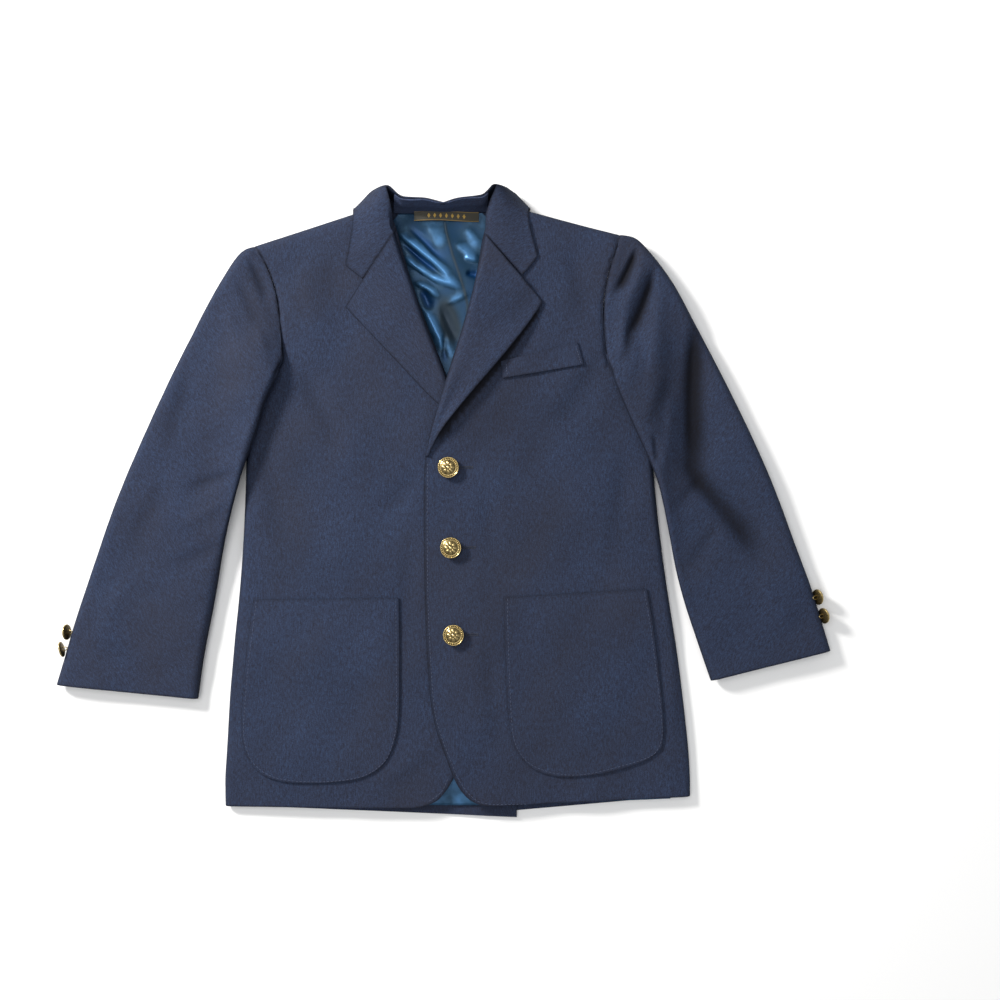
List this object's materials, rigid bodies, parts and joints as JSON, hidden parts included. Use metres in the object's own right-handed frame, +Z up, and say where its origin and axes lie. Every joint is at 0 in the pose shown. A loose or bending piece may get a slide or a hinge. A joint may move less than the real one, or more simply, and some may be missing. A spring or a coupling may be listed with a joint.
{
  "type": "blazer laid flat",
  "caption": "Single-breasted blazer laid flat on its back, with notched lapels, patch pockets, a breast welt, metal buttons and a lined neck.",
  "frame": {"origin": "middle of the laid-out garment's box, on the surface it lies on", "axes": "+Z up from the surface to the fronts, +Y towards the collar, +X towards the wearer's left sleeve"},
  "size_m": [0.7386, 0.6009, 0.0325],
  "materials": {
    "navy_cloth": "fine matt twill",
    "satin_lining": "glossy satin",
    "label_cloth": "woven, plain",
    "brass": "polished, antiqued in the hollows"
  },
  "bodies": {
    "root": {"front_right": "navy_cloth", "front_left": "navy_cloth", "back_right": "navy_cloth", "back_left": "navy_cloth", "lapel_right": "navy_cloth", "lapel_left": "navy_cloth", "collar_fall_right": "navy_cloth", "collar_fall_left": "navy_cloth", "collar_stand": "navy_cloth", "sleeve_right_top": "navy_cloth", "sleeve_right_under": "navy_cloth", "sleeve_left_top": "navy_cloth", "sleeve_left_under": "navy_cloth", "pocket_right": "navy_cloth", "pocket_left": "navy_cloth", "breast_welt": "navy_cloth", "back_lining": "satin_lining", "neck_label": "label_cloth", "front_button_top": "brass", "front_button_middle": "brass", "front_button_bottom": "brass", "cuff_button_right_upper": "brass", "cuff_button_right_lower": "brass", "cuff_button_left_upper": "brass", "cuff_button_left_lower": "brass"}
  },
  "joints": []
}
